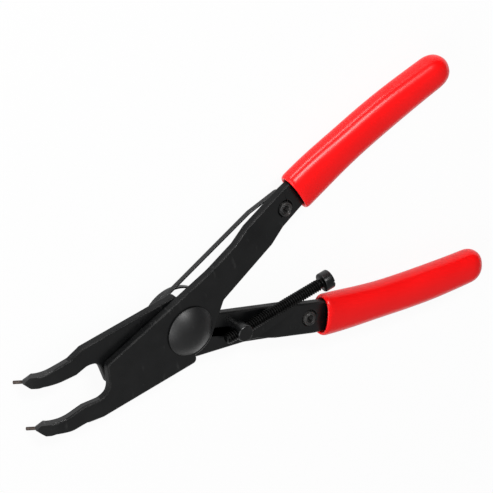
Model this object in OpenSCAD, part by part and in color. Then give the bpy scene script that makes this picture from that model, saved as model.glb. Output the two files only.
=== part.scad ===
// Internal retaining-ring pliers: two crossed levers on one rivet, bent tips, flat return spring, stop screw

/* [Lever plates] */
// Thickness of each lever plate
plate_t = 3.6; // [3:0.1:4.4]
// Running gap between the two plates, and under the rivet heads
plate_gap = 0.1; // [0.06:0.02:0.2]
// Radius of the plate edge around the pivot
boss_r = 12.2; // [11.5:0.1:13]
// Angle below the tool axis at which that round edge starts
boss_angle = 35; // [30:1:40]
// Distance from the tool axis to the outer edge of each jaw
jaw_half = 15.5; // [15:0.1:16.5]
// Distance from the pivot to the front edge of the plates
throat_x = 39; // [37:0.2:40]
// Radius in the corner between that edge and the jaw finger
throat_r = 6; // [4:0.5:6]
// Height of the plate's front corner above the tool axis
plate_corner_y = 5.4; // [3:0.2:7]
// Rounding of the plate's outer corners
corner_r = 2; // [1:0.25:2.5]
// Rise of the plate's outer edge from its front corner to the handle, per unit of length
outer_rise = 0.272; // [0.264:0.002:0.284]

/* [Jaw fingers] */
// Distance from the tool axis to each tip, with the handles open
finger_y = 11.45; // [11:0.05:12]
// Distance from the tip's line to the finger's outer edge
finger_out = 2.9; // [2.4:0.1:3.2]
// Distance from the tip's line to the finger's inner edge, at the finger's end
finger_in = 2.2; // [1.9:0.1:2.6]
// Distance from the tip's line to the finger's inner edge, at the plate
finger_root_in = 4; // [3:0.1:4.4]
// Distance from the pivot to the start of the step that brings a jaw to the middle plane
jaw_step_x = 45; // [44.5:0.5:46]
// Length of that step
jaw_step_l = 6; // [5:0.5:7]
// Distance from the pivot to the start of the finger's bend
bend_x = 56.8; // [54.5:0.2:60]
// Radius of that bend, at the middle of the plate
bend_r = 14; // [11:0.5:18]
// Angle through which the finger is bent back
bend_angle = 45; // [30:1:60]
// Length of the cone at the finger's end
cone_l = 4; // [3.5:0.1:5]

/* [Tips] */
// Diameter of a tip
tip_d = 1.4; // [1:0.05:1.5]
// Diameter of the tip's shank in the finger
tip_shank_d = 1.8; // [1.75:0.05:2]
// Length of tip that stands out of the finger
tip_l = 4; // [2.5:0.1:6]
// Depth of that shank past the finger's cone
tip_depth = 3.5; // [2.5:0.25:3.75]
// Radial clearance of the shank in its hole
tip_fit = 0.02; // [0.01:0.01:0.05]

/* [Handles] */
// Angle of each handle to the tool axis, with the handles open
handle_angle = 24; // [23:0.25:25]
// Distance from the pivot to the handle's middle line
handle_offset = 2.95; // [2.6:0.05:3.2]
// Distance from the handle's middle line to its outer edge, at the grip
handle_out = 6.9; // [6.6:0.1:6.9]
// Distance from the handle's middle line to its inner edge, on the front lever
front_handle_in = 6.3; // [6:0.1:6.9]
// The same on the back lever
back_handle_in = 6.9; // [6.3:0.1:7]
// Extra width of the outer edge where it leaves the plate, on the front lever
front_swell = 1.4; // [0.4:0.1:1.8]
// The same on the back lever
back_swell = -0.3; // [-0.5:0.1:0.6]
// Distance along the handle to the middle of its step
handle_step_s = 46.5; // [45:0.5:47.5]
// Length of that step
handle_step_l = 6.5; // [5.5:0.5:7.5]
// Turn of the step's fold lines from square to the handle
handle_step_turn = 38.5; // [34:0.5:41]

/* [Grips] */
// Distance along the handle from the pivot to the grip's mouth
mouth_s = 68; // [67:0.25:70]
// Length of a grip
grip_l = 82.2; // [76:0.5:90]
// Direction of the grip at its mouth
grip_start_angle = 18.6; // [17:0.2:19]
// Direction of the grip at its end
grip_end_angle = 8; // [7:0.2:12]
// Width of the grip along its length
grip_w = 15.2; // [14.4:0.1:15.4]
// Width of the grip at its mouth
mouth_w = 17.4; // [17.4:0.1:18.4]
// Thickness of the grip
grip_t = 11; // [9.6:0.2:12.4]
// Wall of the sleeve
grip_wall = 1.4; // [1.2:0.05:1.4]
// Clearance between sleeve and tang
grip_fit = 0.1; // [0.05:0.05:0.2]
// Length of the upper grip's rounded end
upper_end_l = 8.9; // [7:0.1:10]
// Length of the lower grip's rounded end
lower_end_l = 7.4; // [6.5:0.1:10]
// Shift of the rounded ends towards the other grip
end_skew = 0.7; // [0:0.1:1]
// Length of solid rubber past the tang
grip_cap = 5; // [4:0.5:7]

/* [Pivot rivet] */
// Diameter of the shank
shank_d = 8.4; // [7:0.2:10]
// Radial clearance of the front lever on the shank
pivot_fit = 0.04; // [0.02:0.01:0.1]
// Radial clearance where the shank is tight
press_fit = 0.01; // [0.01:0.01:0.02]
// Diameter of the domed head
dome_d = 20.6; // [18:0.2:22]
// Height of the dome above its rim
dome_h = 4.2; // [3:0.1:5]
// Height of the dome's rim
dome_rim = 0.5; // [0.3:0.1:1]
// Diameter of the rear head
rear_head_d = 14.4; // [12.5:0.2:16]
// Thickness of the rear head
rear_head_t = 2.6; // [2:0.1:3.5]
// Chamfer round the rear head
rear_head_chamfer = 1.2; // [0.5:0.1:1.5]
// Diameter of the washer under the rear head
washer_d = 19; // [17:0.5:22]
// Thickness of that washer
washer_t = 3.1; // [2.6:0.1:3.6]

/* [Return spring] */
// Width of the strip, along the pivot axis
strip_w = 2.1; // [1.6:0.1:2.2]
// Thickness of the strip
strip_t = 0.7; // [0.5:0.05:0.9]
// Radius of the coil, at the middle of the strip
coil_r = 14.25; // [13.5:0.05:14.5]
// Space between the coil and the rear plate
coil_seat = 0.3; // [0.2:0.05:0.4]
// Space between two turns of the coil
turn_gap = 0.15; // [0.1:0.05:0.25]
// Direction of a leg as it leaves the coil
leg_angle = 20.5; // [19.5:0.25:21.5]
// Length of a leg from the coil to its bend
leg_l = 49; // [46:0.5:51]
// Distance of a leg's end from the handle's middle line
hook_side = 5.6; // [5.3:0.1:6.4]
// Radius of the corner where the leg turns in towards its pin
hook_corner_r = 2; // [1.5:0.25:2.5]
// Angle of a hook round its pin
hook_turn = 110; // [80:10:170]
// Space between a hook and the handle
hook_seat = 0.25; // [0.15:0.05:0.4]

/* [Spring pins] */
// Outside diameter of a rolled spring pin
pin_d = 6.35; // [5.8:0.05:6.6]
// Wall of a rolled pin
pin_wall = 1.3; // [1:0.05:1.5]
// Width of a pin's slit
pin_slit = 0.8; // [0.5:0.05:1.2]
// Distance along the handle to a pin
pin_s = 61; // [60:0.1:61.5]
// Distance of a pin from the handle's middle line, towards the inner edge
pin_in = 0.45; // [0:0.05:0.8]
// Turn of a pin's slit
pin_slit_turn = 54; // [0:1:90]
// Height that a pin stands out of the handle
pin_proud = 0.8; // [0.3:0.1:1]
// Length of pin past its hook
pin_tail = 0.6; // [0.3:0.1:1]
// Clearance between a hook and its pin
hook_fit = 0.05; // [0.03:0.01:0.1]

/* [Stop] */
// Distance along the tool axis from the pivot to the stud
stud_x = 22.6; // [21.5:0.1:23.5]
// Distance from the tool axis to the stud
stud_y = 13.8; // [13.2:0.1:14.4]
// Diameter of the stud
stud_d = 7; // [6.6:0.1:7.6]
// Diameter of the stud's shank in the lever
stud_shank_d = 4.8; // [4:0.1:5.4]
// Diameter of the stud's upset rear head
stud_rear_d = 6.8; // [6.2:0.1:7.4]
// Thickness of that head
stud_rear_t = 1.4; // [1:0.1:1.8]
// Metal of the stud above the screw
stud_cover = 1; // [0.8:0.1:1.5]
// Chamfer round the stud's top
stud_chamfer = 0.4; // [0.2:0.05:0.6]
// Outside diameter of the screw's thread
thread_d = 4.83; // [4.4:0.01:4.9]
// Pitch of the thread
thread_pitch = 1.058; // [0.9:0.002:1.3]
// Depth of the thread
thread_depth = 0.6; // [0.4:0.02:0.66]
// Radial clearance of the thread in the stud
thread_fit = 0.05; // [0.03:0.01:0.1]
// Space between the screw and the lever
screw_lift = 0.6; // [0.5:0.05:0.9]
// Length of the screw under its head
screw_l = 47.8; // [45:0.2:50]
// Distance from the stud's middle to the screw's free end
screw_out = 7.5; // [6.5:0.25:9]
// Diameter of the screw's head
head_d = 8; // [7:0.05:8.6]
// Height of the head
head_h = 4.7; // [3.8:0.1:5]
// Crown of the head above its straight side
head_crown = 0.8; // [0.4:0.05:1.2]
// Width of the screwdriver slot
slot_w = 1.2; // [0.9:0.05:1.5]
// Depth of that slot
slot_depth = 1.9; // [1.4:0.1:2.2]

/* [Hidden] */
$fn = 64;
cut = 0.5;
far = 260;
arc_steps = 8;

// Heights are measured from the middle plane between the plates, which lies this far above the rear face
mid_z = rear_head_t + washer_t + 2 * plate_gap / 2 + plate_t + plate_gap / 2;
plate_back = plate_gap / 2;
plate_front = plate_back + plate_t;

// Unit directions of a handle, along it and outwards across it
along = [cos(handle_angle), sin(handle_angle)];
across = [-sin(handle_angle), cos(handle_angle)];
pin_at = along * pin_s + across * (handle_offset - pin_in);
mouth_at = along * mouth_s + across * handle_offset;

// Step of the handle, measured square to its fold lines
step_dir_angle = handle_angle + handle_step_turn;
step_dir = [cos(step_dir_angle), sin(step_dir_angle)];
step_mid = (along * handle_step_s + across * handle_offset) * step_dir;
step_half = handle_step_l / 2;

// End of the finger's bend, where its cone starts
bend_end = [-bend_x - bend_r * sin(bend_angle), -bend_r * (1 - cos(bend_angle))];
cone_clear = 0.1;
cone_start_r = norm([finger_out, plate_t / 2]) + cone_clear;
cone_wall = 0.15;
cone_end_r = tip_shank_d / 2 + cone_wall;

// Sleeve and tang sections along the grip
grip_turn = (grip_start_angle - grip_end_angle) * PI / 180;
grip_curve_r = grip_l / grip_turn;
mouth_half = mouth_w / 2;
flare_l = 34;
grip_round_l = 8;
body_l = grip_l - grip_round_l;
tang_l = body_l - grip_cap;

// Powers of the oval section and of the rounded end
grip_shape = 2.6;
grip_end_shape = 2.3;

// Share of the sleeve bore's width that is left at the faces of the tang
bore_half_t = grip_t / 2 - grip_wall;
bore_share = pow(1 - pow(plate_t / 2 / bore_half_t, grip_shape), 1 / grip_shape);

// Heights of the spring
coil_front_z = -plate_front - coil_seat - strip_w / 2;
coil_turns = 1 + (180 - 2 * leg_angle) / 360;
coil_rise = (strip_w + turn_gap) * coil_turns;
hook_z = -plate_t / 2 - hook_seat - strip_w / 2;
hook_r = pin_d / 2 + hook_fit + strip_t / 2;
hook_out = hook_side + pin_in - hook_corner_r;
hook_corner = pin_at + along * (hook_r - hook_corner_r) + across * hook_out;
hook_steps = 12;
hook_corner_steps = 8;
coil_steps = 72;

// Stop screw
screw_z = -plate_back + screw_lift + thread_d / 2;
screw_end_x = stud_x - screw_out;
screw_head_x = screw_end_x + screw_l;
stud_top_z = screw_z + thread_d / 2 + stud_cover;

steel_colour = [0.13, 0.13, 0.14];
bare_steel_colour = [0.48, 0.42, 0.38];
vinyl_colour = [0.93, 0.08, 0.09];

function unit(v) = v / norm(v);
function turn_of(v) = atan2(v.y, v.x);
function short_turn(a) = a > 180 ? a - 360 : a < -180 ? a + 360 : a;
function arc(centre, r, from, to, steps = arc_steps) =
    [for (i = [0:steps]) centre + r * [cos(from + (to - from) * i / steps), sin(from + (to - from) * i / steps)]];

// Corner q between p and s, rounded with radius r
function round_corner(p, q, s, r) =
    let (u = unit(p - q), v = unit(s - q), half = acos(u * v) / 2)
    let (centre = q + unit(u + v) * r / sin(half), reach = r / tan(half))
    let (from = turn_of(q + u * reach - centre), to = turn_of(q + v * reach - centre))
    arc(centre, r, from, from + short_turn(to - from));
function corner_points(path, i) =
    let (n = len(path), q = path[i], p = path[(i + n - 1) % n], s = path[(i + 1) % n])
    q[2] > 0 ? round_corner([p.x, p.y], [q.x, q.y], [s.x, s.y], q[2]) : [[q.x, q.y]];
function rounded(path) = [for (i = [0:len(path) - 1]) each corner_points(path, i)];
function plan_point(p, r) = [p.x, p.y, r];

// Middle line of a grip, its direction, and its half width, at distance s from the mouth
function grip_angle(s) = grip_start_angle - (grip_start_angle - grip_end_angle) * s / grip_l;
function grip_point(s) =
    let (a = grip_angle(s))
    mouth_at + grip_curve_r * [sin(grip_start_angle) - sin(a), cos(a) - cos(grip_start_angle)];
function grip_across(s) = [-sin(grip_angle(s)), cos(grip_angle(s))];
function flare(s) = s >= flare_l ? 0 : (1 + cos(180 * s / flare_l)) / 2;
function grip_half(s) = grip_w / 2 + (mouth_half - grip_w / 2) * flare(s);
function tang_half(s) = (grip_half(s) - grip_wall) * bore_share - grip_fit;
function tang_side(side, s) = grip_point(s) + side * grip_across(s) * tang_half(s);

// Points along the tang, from just inside the mouth to its end
tang_start = 4;
tang_count = 5;
tang_stations = [for (i = [1:tang_count]) tang_start + (tang_l - tang_start) * i / tang_count];
tang_end_r = 3;

// Outer edge of the handle, which leans in from its shoulder to the grip
swell_s = 36;
out_far = along * mouth_s + across * (handle_offset + handle_out);
function swell_of(side) = side > 0 ? front_swell : back_swell;
function out_near(side) = along * swell_s + across * (handle_offset + handle_out + swell_of(side));
function out_dir(side) = unit(out_far - out_near(side));

// Inner edge of the handle, at distance s from the pivot
function in_of(side) = side > 0 ? front_handle_in : back_handle_in;
function inner_edge(side, s) = along * s + across * (handle_offset - in_of(side));

// Bends of the lever's edge before and after the grip's mouth
neck_out_l = 3;
neck_in_l = 2;
neck_r = 6;

// Square end of the jaw's blade, just past the pivot
blade_x = 0.2;
blade_angle = acos(blade_x / boss_r);

// Crotch between the round edge and the handle's inner edge
boss_touch = boss_r * [cos(boss_angle), -sin(boss_angle)];
boss_line = [sin(boss_angle), cos(boss_angle)];
function crotch(side) =
    boss_touch + boss_line * ((inner_edge(side, 0) - boss_touch) * across / (boss_line * across));
crotch_r = 2.4;

// Shoulder between the plate's outer edge and the handle's outer edge
front_setback = 1.5;
front_corner = [-throat_x + front_setback, plate_corner_y];
outer_square = [-outer_rise, 1];
function shoulder_k(side) = (front_corner - out_near(side)) * outer_square / (out_dir(side) * outer_square);
function shoulder(side) = out_near(side) + out_dir(side) * shoulder_k(side);
shoulder_r = 40;

// Finger, from the jaw's step to the end of its cone
finger_x = jaw_step_x + jaw_step_l + 1;
finger_end_x = -bend_end.x + cone_l;
finger_edge_r = 10;

// Plan of a lever: blade end, jaw, finger, throat, outer edge, tang, inner edge, crotch, round edge
function lever_plan(side) = rounded(concat(
    [
        [blade_x, -jaw_half, corner_r],
        [-jaw_step_x, -jaw_half, finger_edge_r],
        [-finger_x, -finger_y - finger_out, finger_edge_r],
        [-finger_end_x, -finger_y - finger_out, 0],
        [-finger_end_x, -finger_y + finger_in, 0],
        [-throat_x, -finger_y + finger_root_in, throat_r],
        [front_corner.x, front_corner.y, corner_r],
        plan_point(shoulder(side), shoulder_r),
        plan_point(out_far - neck_out_l * out_dir(side), neck_r)
    ],
    [for (s = tang_stations) plan_point(tang_side(1, s), s == tang_l ? tang_end_r : 0)],
    [for (i = [tang_count - 1:-1:0])
        let (s = tang_stations[i]) plan_point(tang_side(-1, s), s == tang_l ? tang_end_r : 0)],
    [plan_point(inner_edge(side, mouth_s + neck_in_l), neck_r), plan_point(crotch(side), crotch_r)],
    [for (p = arc([0, 0], boss_r, -boss_angle, -blade_angle)) plan_point(p, 0)]
));

// Side view of one face of the handle with its step, square to the folds; the metal reaches to the height given
step_drop = plate_back + plate_t / 2;
function stepped_face(reach) = [
    [-far, 0], [step_mid - step_half, 0],
    [step_mid + step_half, -step_drop], [far, -step_drop],
    [far, reach], [-far, reach]
];

// Side view of a jaw: step to the middle plane, bend and straight end; side is 1 in front and -1 behind
bend_steps = 12;
function bend_arc(r, from, to) = arc([-bend_x, -bend_r], r, 90 + from, 90 + to, bend_steps);
function past_bend(r) =
    let (out = cone_l + tip_l, c = cos(bend_angle), s = sin(bend_angle))
    [-bend_x - r * s - out * c, -bend_r + r * c - out * s];
function jaw_side_view(side) =
    let (low = side > 0 ? plate_back : -plate_front, high = side > 0 ? plate_front : -plate_back)
    concat(
        [[-throat_x, low], [-throat_x, high], [-jaw_step_x, high], [-jaw_step_x - jaw_step_l, plate_t / 2]],
        bend_arc(bend_r + plate_t / 2, 0, bend_angle),
        [past_bend(bend_r + plate_t / 2), past_bend(bend_r - plate_t / 2)],
        bend_arc(bend_r - plate_t / 2, bend_angle, 0),
        [[-jaw_step_x - jaw_step_l, -plate_t / 2], [-jaw_step_x, low]]
    );

// Moves to the end of a finger's bend, with Z along the tip; side is -1 for the front lever's jaw
module at_tip(side) {
    translate([bend_end.x, side * finger_y, bend_end.y])
        rotate([0, -90 - bend_angle, 0])
            children();
}

// Metal taken off around a finger's end to leave its cone
module cone_waste() {
    waste_r = 6 * finger_out;
    difference() {
        cylinder(r = waste_r, h = waste_r);
        translate([0, 0, -cut])
            cylinder(
                r1 = cone_start_r + cut * (cone_start_r - cone_end_r) / cone_l,
                r2 = cone_end_r,
                h = cone_l + cut
            );
    }
}

// Plan of a lever, mirrored for the one behind, as a tall prism
module plan_prism(side) {
    translate([0, 0, -far / 4])
        linear_extrude(far / 2)
            mirror([0, side > 0 ? 0 : 1])
                polygon(lever_plan(side));
}

// Everything on one side of a stepped face; the lever behind has it upside down and mirrored
module stepped_block(side, height, reach) {
    translate([0, 0, side * height])
        mirror([0, side > 0 ? 0 : 1, 0])
            rotate([0, 0, step_dir_angle])
                rotate([90, 0, 0])
                    translate([0, 0, -far])
                        linear_extrude(2 * far)
                            mirror([0, side > 0 ? 0 : 1])
                                polygon(stepped_face(reach));
}

module jaw_prism(side) {
    rotate([90, 0, 0])
        translate([0, 0, -far / 4])
            linear_extrude(far / 2)
                polygon(jaw_side_view(side));
}

module lever_blank(side) {
    split_x = (throat_x + jaw_step_x) / 2;
    intersection() {
        plan_prism(side);
        stepped_block(side, plate_front, -far);
        stepped_block(side, plate_back, far);
        translate([-split_x, -far / 2, -far / 2])
            cube(far);
    }
    difference() {
        intersection() {
            plan_prism(side);
            jaw_prism(side);
            translate([-split_x + cut - far, -far / 2, -far / 2])
                cube(far);
        }
        at_tip(-side)
            cone_waste();
    }
}

// A lever with its holes for the pivot, the spring pin and the tip
module lever(side, bore_r) {
    difference() {
        lever_blank(side);
        translate([0, 0, -far / 4])
            cylinder(r = bore_r, h = far / 2);
        translate([pin_at.x, side * pin_at.y, -far / 4])
            cylinder(r = pin_d / 2 + press_fit, h = far / 2);
        at_tip(-side)
            translate([0, 0, -tip_depth])
                cylinder(d = tip_shank_d + 2 * tip_fit, h = tip_depth + cone_l + cut);
    }
}

module front_lever() {
    color(steel_colour)
        translate([0, 0, mid_z])
            lever(1, shank_d / 2 + pivot_fit);
}

module back_lever() {
    color(steel_colour)
        translate([0, 0, mid_z])
            difference() {
                lever(-1, shank_d / 2 + press_fit);
                translate([stud_x, -stud_y, -far / 4])
                    cylinder(d = stud_shank_d + 2 * press_fit, h = far / 2);
            }
}

module pivot_rivet() {
    dome_ball = (pow(dome_d / 2, 2) + dome_h * dome_h) / (2 * dome_h);
    head_z = mid_z + plate_front + plate_gap;
    color(steel_colour) {
        translate([0, 0, rear_head_t])
            cylinder(d = shank_d, h = head_z - rear_head_t + dome_rim);
        translate([0, 0, head_z])
            cylinder(d = dome_d, h = dome_rim);
        intersection() {
            translate([0, 0, head_z + dome_rim + dome_h - dome_ball])
                sphere(dome_ball, $fn = 128);
            translate([0, 0, head_z + dome_rim])
                cylinder(r = dome_d, h = 2 * dome_h);
        }
        cylinder(d1 = rear_head_d - 2 * rear_head_chamfer, d2 = rear_head_d, h = rear_head_chamfer);
        translate([0, 0, rear_head_chamfer])
            cylinder(d = rear_head_d, h = rear_head_t - rear_head_chamfer);
    }
}

module rear_washer() {
    color(steel_colour)
        translate([0, 0, rear_head_t + plate_gap / 2])
            difference() {
                cylinder(d = washer_d, h = washer_t);
                translate([0, 0, -cut])
                    cylinder(d = shank_d + 2 * press_fit, h = washer_t + 2 * cut);
            }
}

// Closed surface through a list of rings with equal counts of points
module skin(rings) {
    n = len(rings[0]);
    last = len(rings) - 1;
    faces = concat(
        [[for (j = [n - 1:-1:0]) j]],
        [for (i = [0:last - 1], j = [0:n - 1]) [i * n + j, i * n + (j + 1) % n, (i + 1) * n + (j + 1) % n]],
        [for (i = [0:last - 1], j = [0:n - 1]) [i * n + j, (i + 1) * n + (j + 1) % n, (i + 1) * n + j]],
        [[for (j = [0:n - 1]) last * n + j]]
    );
    polyhedron([for (ring = rings) each ring], faces, convexity = 8);
}

// Middle line of the spring: hook, leg and coil of one side, as rows of [x, y, height, direction]
function leg_start() = coil_r * [cos(90 + leg_angle), sin(90 + leg_angle)];
function leg_bend() = leg_start() + leg_l * [cos(leg_angle), sin(leg_angle)];
function end_angle() = let (v = hook_corner - leg_bend()) turn_of(v) + asin(hook_corner_r / norm(v));
function turn_row(centre, r, a, z) = [centre.x + r * cos(a), centre.y + r * sin(a), z, a - 90];
function leg_rows(coil_z) =
    let (bend = leg_bend(), reach = norm(hook_corner - bend), corner_turn = 90 + end_angle() - handle_angle)
    let (bend_z = coil_z + (hook_z - coil_z) * leg_l / (leg_l + reach))
    concat(
        [for (i = [hook_steps:-1:0]) turn_row(pin_at, hook_r, handle_angle - hook_turn * i / hook_steps, hook_z)],
        [for (i = [0:hook_corner_steps])
            let (a = handle_angle + corner_turn * i / hook_corner_steps)
            turn_row(hook_corner, hook_corner_r, a, hook_z)],
        [[bend.x, bend.y, bend_z, (leg_angle + end_angle()) / 2]]
    );
function coil_rows() =
    [for (i = [0:coil_steps])
        let (a = 90 + leg_angle + (360 * coil_turns) * i / coil_steps)
        turn_row([0, 0], coil_r, a, coil_front_z - coil_rise * i / coil_steps)];
function mirrored(rows) = [for (i = [len(rows) - 1:-1:0]) let (r = rows[i]) [r[0], -r[1], r[2], 180 - r[3]]];
function strip_ring(row) =
    let (out = [-sin(row[3]), cos(row[3])] * strip_t / 2, p = [row[0], row[1]], z = row[2] + mid_z)
    [
        [p.x + out.x, p.y + out.y, z - strip_w / 2], [p.x + out.x, p.y + out.y, z + strip_w / 2],
        [p.x - out.x, p.y - out.y, z + strip_w / 2], [p.x - out.x, p.y - out.y, z - strip_w / 2]
    ];

module return_spring() {
    rows = concat(
        leg_rows(coil_front_z),
        coil_rows(),
        mirrored(leg_rows(coil_front_z - coil_rise))
    );
    color(steel_colour)
        skin([for (row = rows) strip_ring(row)]);
}

// Oval ring of a grip at distance s, with half width a and half thickness b
ring_points = 36;
function oval(t, power) = sign(t) * pow(abs(t), 2 / power);
function grip_ring(s, a, b, shift = 0) =
    [for (j = [0:ring_points - 1])
        let (turn = 360 * j / ring_points, side = a * oval(cos(turn), grip_shape) - shift)
        let (p = grip_point(s) + grip_across(s) * side)
        [p.x, p.y, b * oval(sin(turn), grip_shape)]];
function inner_ring(s) = grip_ring(s, grip_half(s) - grip_wall, bore_half_t);
function outer_ring(s) = grip_ring(s, grip_half(s), grip_t / 2);
// Ring of the rounded end, at the fraction u of its length l
function end_ring(u, l) =
    let (s = body_l + l * u, shrink = pow(1 - pow(u, grip_end_shape), 1 / grip_end_shape))
    grip_ring(s, grip_half(s) * shrink, grip_t / 2 * shrink, end_skew * u * u);

module grip(side) {
    body_steps = 10;
    bore_steps = 8;
    end_l = side > 0 ? upper_end_l : lower_end_l;
    end_steps = [0.3, 0.5, 0.67, 0.8, 0.89, 0.95, 0.985];
    color(vinyl_colour)
        translate([0, 0, mid_z])
            mirror([0, side > 0 ? 0 : 1, 0])
                skin(concat(
                    [for (i = [bore_steps:-1:0]) inner_ring((tang_l + grip_fit) * i / bore_steps)],
                    [for (i = [0:body_steps]) outer_ring(body_l * i / body_steps)],
                    [for (u = end_steps) end_ring(u, end_l)]
                ));
}

module upper_grip() {
    grip(1);
}

module lower_grip() {
    grip(-1);
}

module spring_pin(side) {
    back_z = hook_z - strip_w / 2 - pin_tail;
    pin_l = plate_t / 2 + pin_proud - back_z;
    color(steel_colour)
        translate([pin_at.x, side * pin_at.y, mid_z + back_z])
            difference() {
                cylinder(d = pin_d, h = pin_l);
                translate([0, 0, -cut])
                    cylinder(d = pin_d - 2 * pin_wall, h = pin_l + 2 * cut);
                rotate(-pin_slit_turn)
                    translate([0, -pin_slit / 2, -cut])
                        cube([pin_d, pin_slit, pin_l + 2 * cut]);
            }
}

module upper_spring_pin() {
    spring_pin(1);
}

module lower_spring_pin() {
    spring_pin(-1);
}

module stop_stud() {
    shank_z = -plate_front - stud_rear_t;
    color(steel_colour)
        translate([stud_x, -stud_y, mid_z])
            difference() {
                union() {
                    translate([0, 0, -plate_back])
                        cylinder(d = stud_d, h = stud_top_z + plate_back - stud_chamfer);
                    translate([0, 0, stud_top_z - stud_chamfer])
                        cylinder(d1 = stud_d, d2 = stud_d - 2 * stud_chamfer, h = stud_chamfer);
                    translate([0, 0, shank_z])
                        cylinder(d = stud_shank_d, h = cut - shank_z);
                    translate([0, 0, shank_z])
                        cylinder(d = stud_rear_d, h = stud_rear_t);
                }
                translate([-stud_d, 0, screw_z])
                    rotate([0, 90, 0])
                        cylinder(d = thread_d + 2 * thread_fit, h = 2 * stud_d);
            }
}

// Half section of the thread, from the screw's free end; the crest is a fraction of the pitch
thread_crest = 0.16;
thread_root_r = thread_d / 2 - thread_depth;
function thread_section(turns) =
    [for (i = [0:turns - 1]) each
        [
            [thread_root_r, thread_pitch * i],
            [thread_d / 2, thread_pitch * (i + 0.5 - thread_crest / 2)],
            [thread_d / 2, thread_pitch * (i + 0.5 + thread_crest / 2)]
        ]];

module stop_screw() {
    turns = floor(screw_l / thread_pitch) - 1;
    crown_ball = (pow(head_d / 2, 2) + head_crown * head_crown) / (2 * head_crown);
    section = concat(
        [[0, 0]],
        thread_section(turns),
        [[thread_root_r, thread_pitch * turns], [thread_root_r, screw_l + cut], [0, screw_l + cut]]
    );
    color(steel_colour)
        translate([screw_end_x, -stud_y, mid_z + screw_z])
            rotate([0, 90, 0])
                difference() {
                    union() {
                        rotate_extrude()
                            polygon(section);
                        intersection() {
                            translate([0, 0, screw_l + head_h - crown_ball])
                                sphere(crown_ball);
                            translate([0, 0, screw_l])
                                cylinder(d = head_d, h = 2 * head_h);
                        }
                    }
                    translate([-head_d, -slot_w / 2, screw_l + head_h - slot_depth])
                        cube([2 * head_d, slot_w, 2 * slot_depth]);
                }
}

module tip(side) {
    color(bare_steel_colour)
        translate([0, 0, mid_z])
            at_tip(side)
                union() {
                    translate([0, 0, -tip_depth])
                        cylinder(d = tip_shank_d, h = tip_depth + cone_l);
                    translate([0, 0, cone_l - cut])
                        cylinder(d = tip_d, h = tip_l + cut);
                }
}

module front_tip() {
    tip(-1);
}

module back_tip() {
    tip(1);
}

front_lever();
back_lever();
pivot_rivet();
rear_washer();
return_spring();
upper_grip();
lower_grip();
upper_spring_pin();
lower_spring_pin();
stop_stud();
stop_screw();
front_tip();
back_tip();
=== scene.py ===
from math import acos, asin, atan2, cos, hypot, pi, radians, sin

import bmesh
import bpy
from mathutils import Matrix, Vector
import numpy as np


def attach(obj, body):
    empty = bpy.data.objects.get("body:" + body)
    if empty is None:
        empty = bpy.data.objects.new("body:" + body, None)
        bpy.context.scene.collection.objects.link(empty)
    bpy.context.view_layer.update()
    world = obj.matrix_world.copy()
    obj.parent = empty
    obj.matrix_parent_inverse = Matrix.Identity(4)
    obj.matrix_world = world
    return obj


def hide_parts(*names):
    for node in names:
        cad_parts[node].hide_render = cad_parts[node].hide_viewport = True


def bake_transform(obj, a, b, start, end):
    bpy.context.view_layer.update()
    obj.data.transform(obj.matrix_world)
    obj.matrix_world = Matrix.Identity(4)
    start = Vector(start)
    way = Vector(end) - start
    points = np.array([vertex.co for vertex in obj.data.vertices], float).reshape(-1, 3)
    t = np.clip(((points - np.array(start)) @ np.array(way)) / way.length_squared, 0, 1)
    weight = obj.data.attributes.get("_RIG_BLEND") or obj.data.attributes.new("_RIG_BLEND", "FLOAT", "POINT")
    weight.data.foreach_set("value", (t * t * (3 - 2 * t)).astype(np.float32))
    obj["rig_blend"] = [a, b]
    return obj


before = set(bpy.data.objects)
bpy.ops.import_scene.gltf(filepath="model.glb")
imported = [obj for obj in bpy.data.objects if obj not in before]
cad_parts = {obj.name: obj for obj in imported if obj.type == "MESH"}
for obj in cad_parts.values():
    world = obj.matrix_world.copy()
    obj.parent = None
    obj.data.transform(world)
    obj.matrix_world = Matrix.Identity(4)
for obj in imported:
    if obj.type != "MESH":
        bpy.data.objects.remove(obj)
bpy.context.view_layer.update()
mm = 0.001
midZ = 9.45  # middle plane between the two plates, mm above the origin
print("frame loaded")

# camera, as fitted to the photograph
cameraView = {
    "place": (-0.52503, 0.82443, 1.03056),
    "right": (0.79355, -0.18379, 0.58009),
    "down": (-0.46249, -0.80169, 0.37867),
    "lens": 264.21,
    "sensor": 36.0,
}


def makeCamera(view):
    data = bpy.data.cameras.new("viewCamera")
    data.lens = view["lens"]
    data.sensor_width = view["sensor"]
    data.clip_start = 0.05
    data.clip_end = 100
    camera = bpy.data.objects.new("viewCamera", data)
    right = Vector(view["right"]).normalized()
    up = -Vector(view["down"])
    up = (up - right * up.dot(right)).normalized()
    turn = Matrix((right, up, right.cross(up))).transposed()
    camera.matrix_world = Matrix.Translation(view["place"]) @ turn.to_4x4()
    bpy.context.scene.collection.objects.link(camera)
    bpy.context.scene.camera = camera


makeCamera(cameraView)
print("camera placed")


# material helpers
def addNode(tree, kind, inputs=None, **settings):
    made = tree.nodes.new(kind)
    for name, value in settings.items():
        setattr(made, name, value)
    for name, value in (inputs or {}).items():
        made.inputs[name].default_value = value
    return made


def startMaterial(name, specular):
    material = bpy.data.materials.new(name)
    material.use_nodes = True
    tree = material.node_tree
    shader = tree.nodes["Principled BSDF"]
    shader.inputs["Specular IOR Level"].default_value = specular
    place = addNode(tree, "ShaderNodeTexCoord").outputs["Object"]
    return material, tree, shader, place


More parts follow.
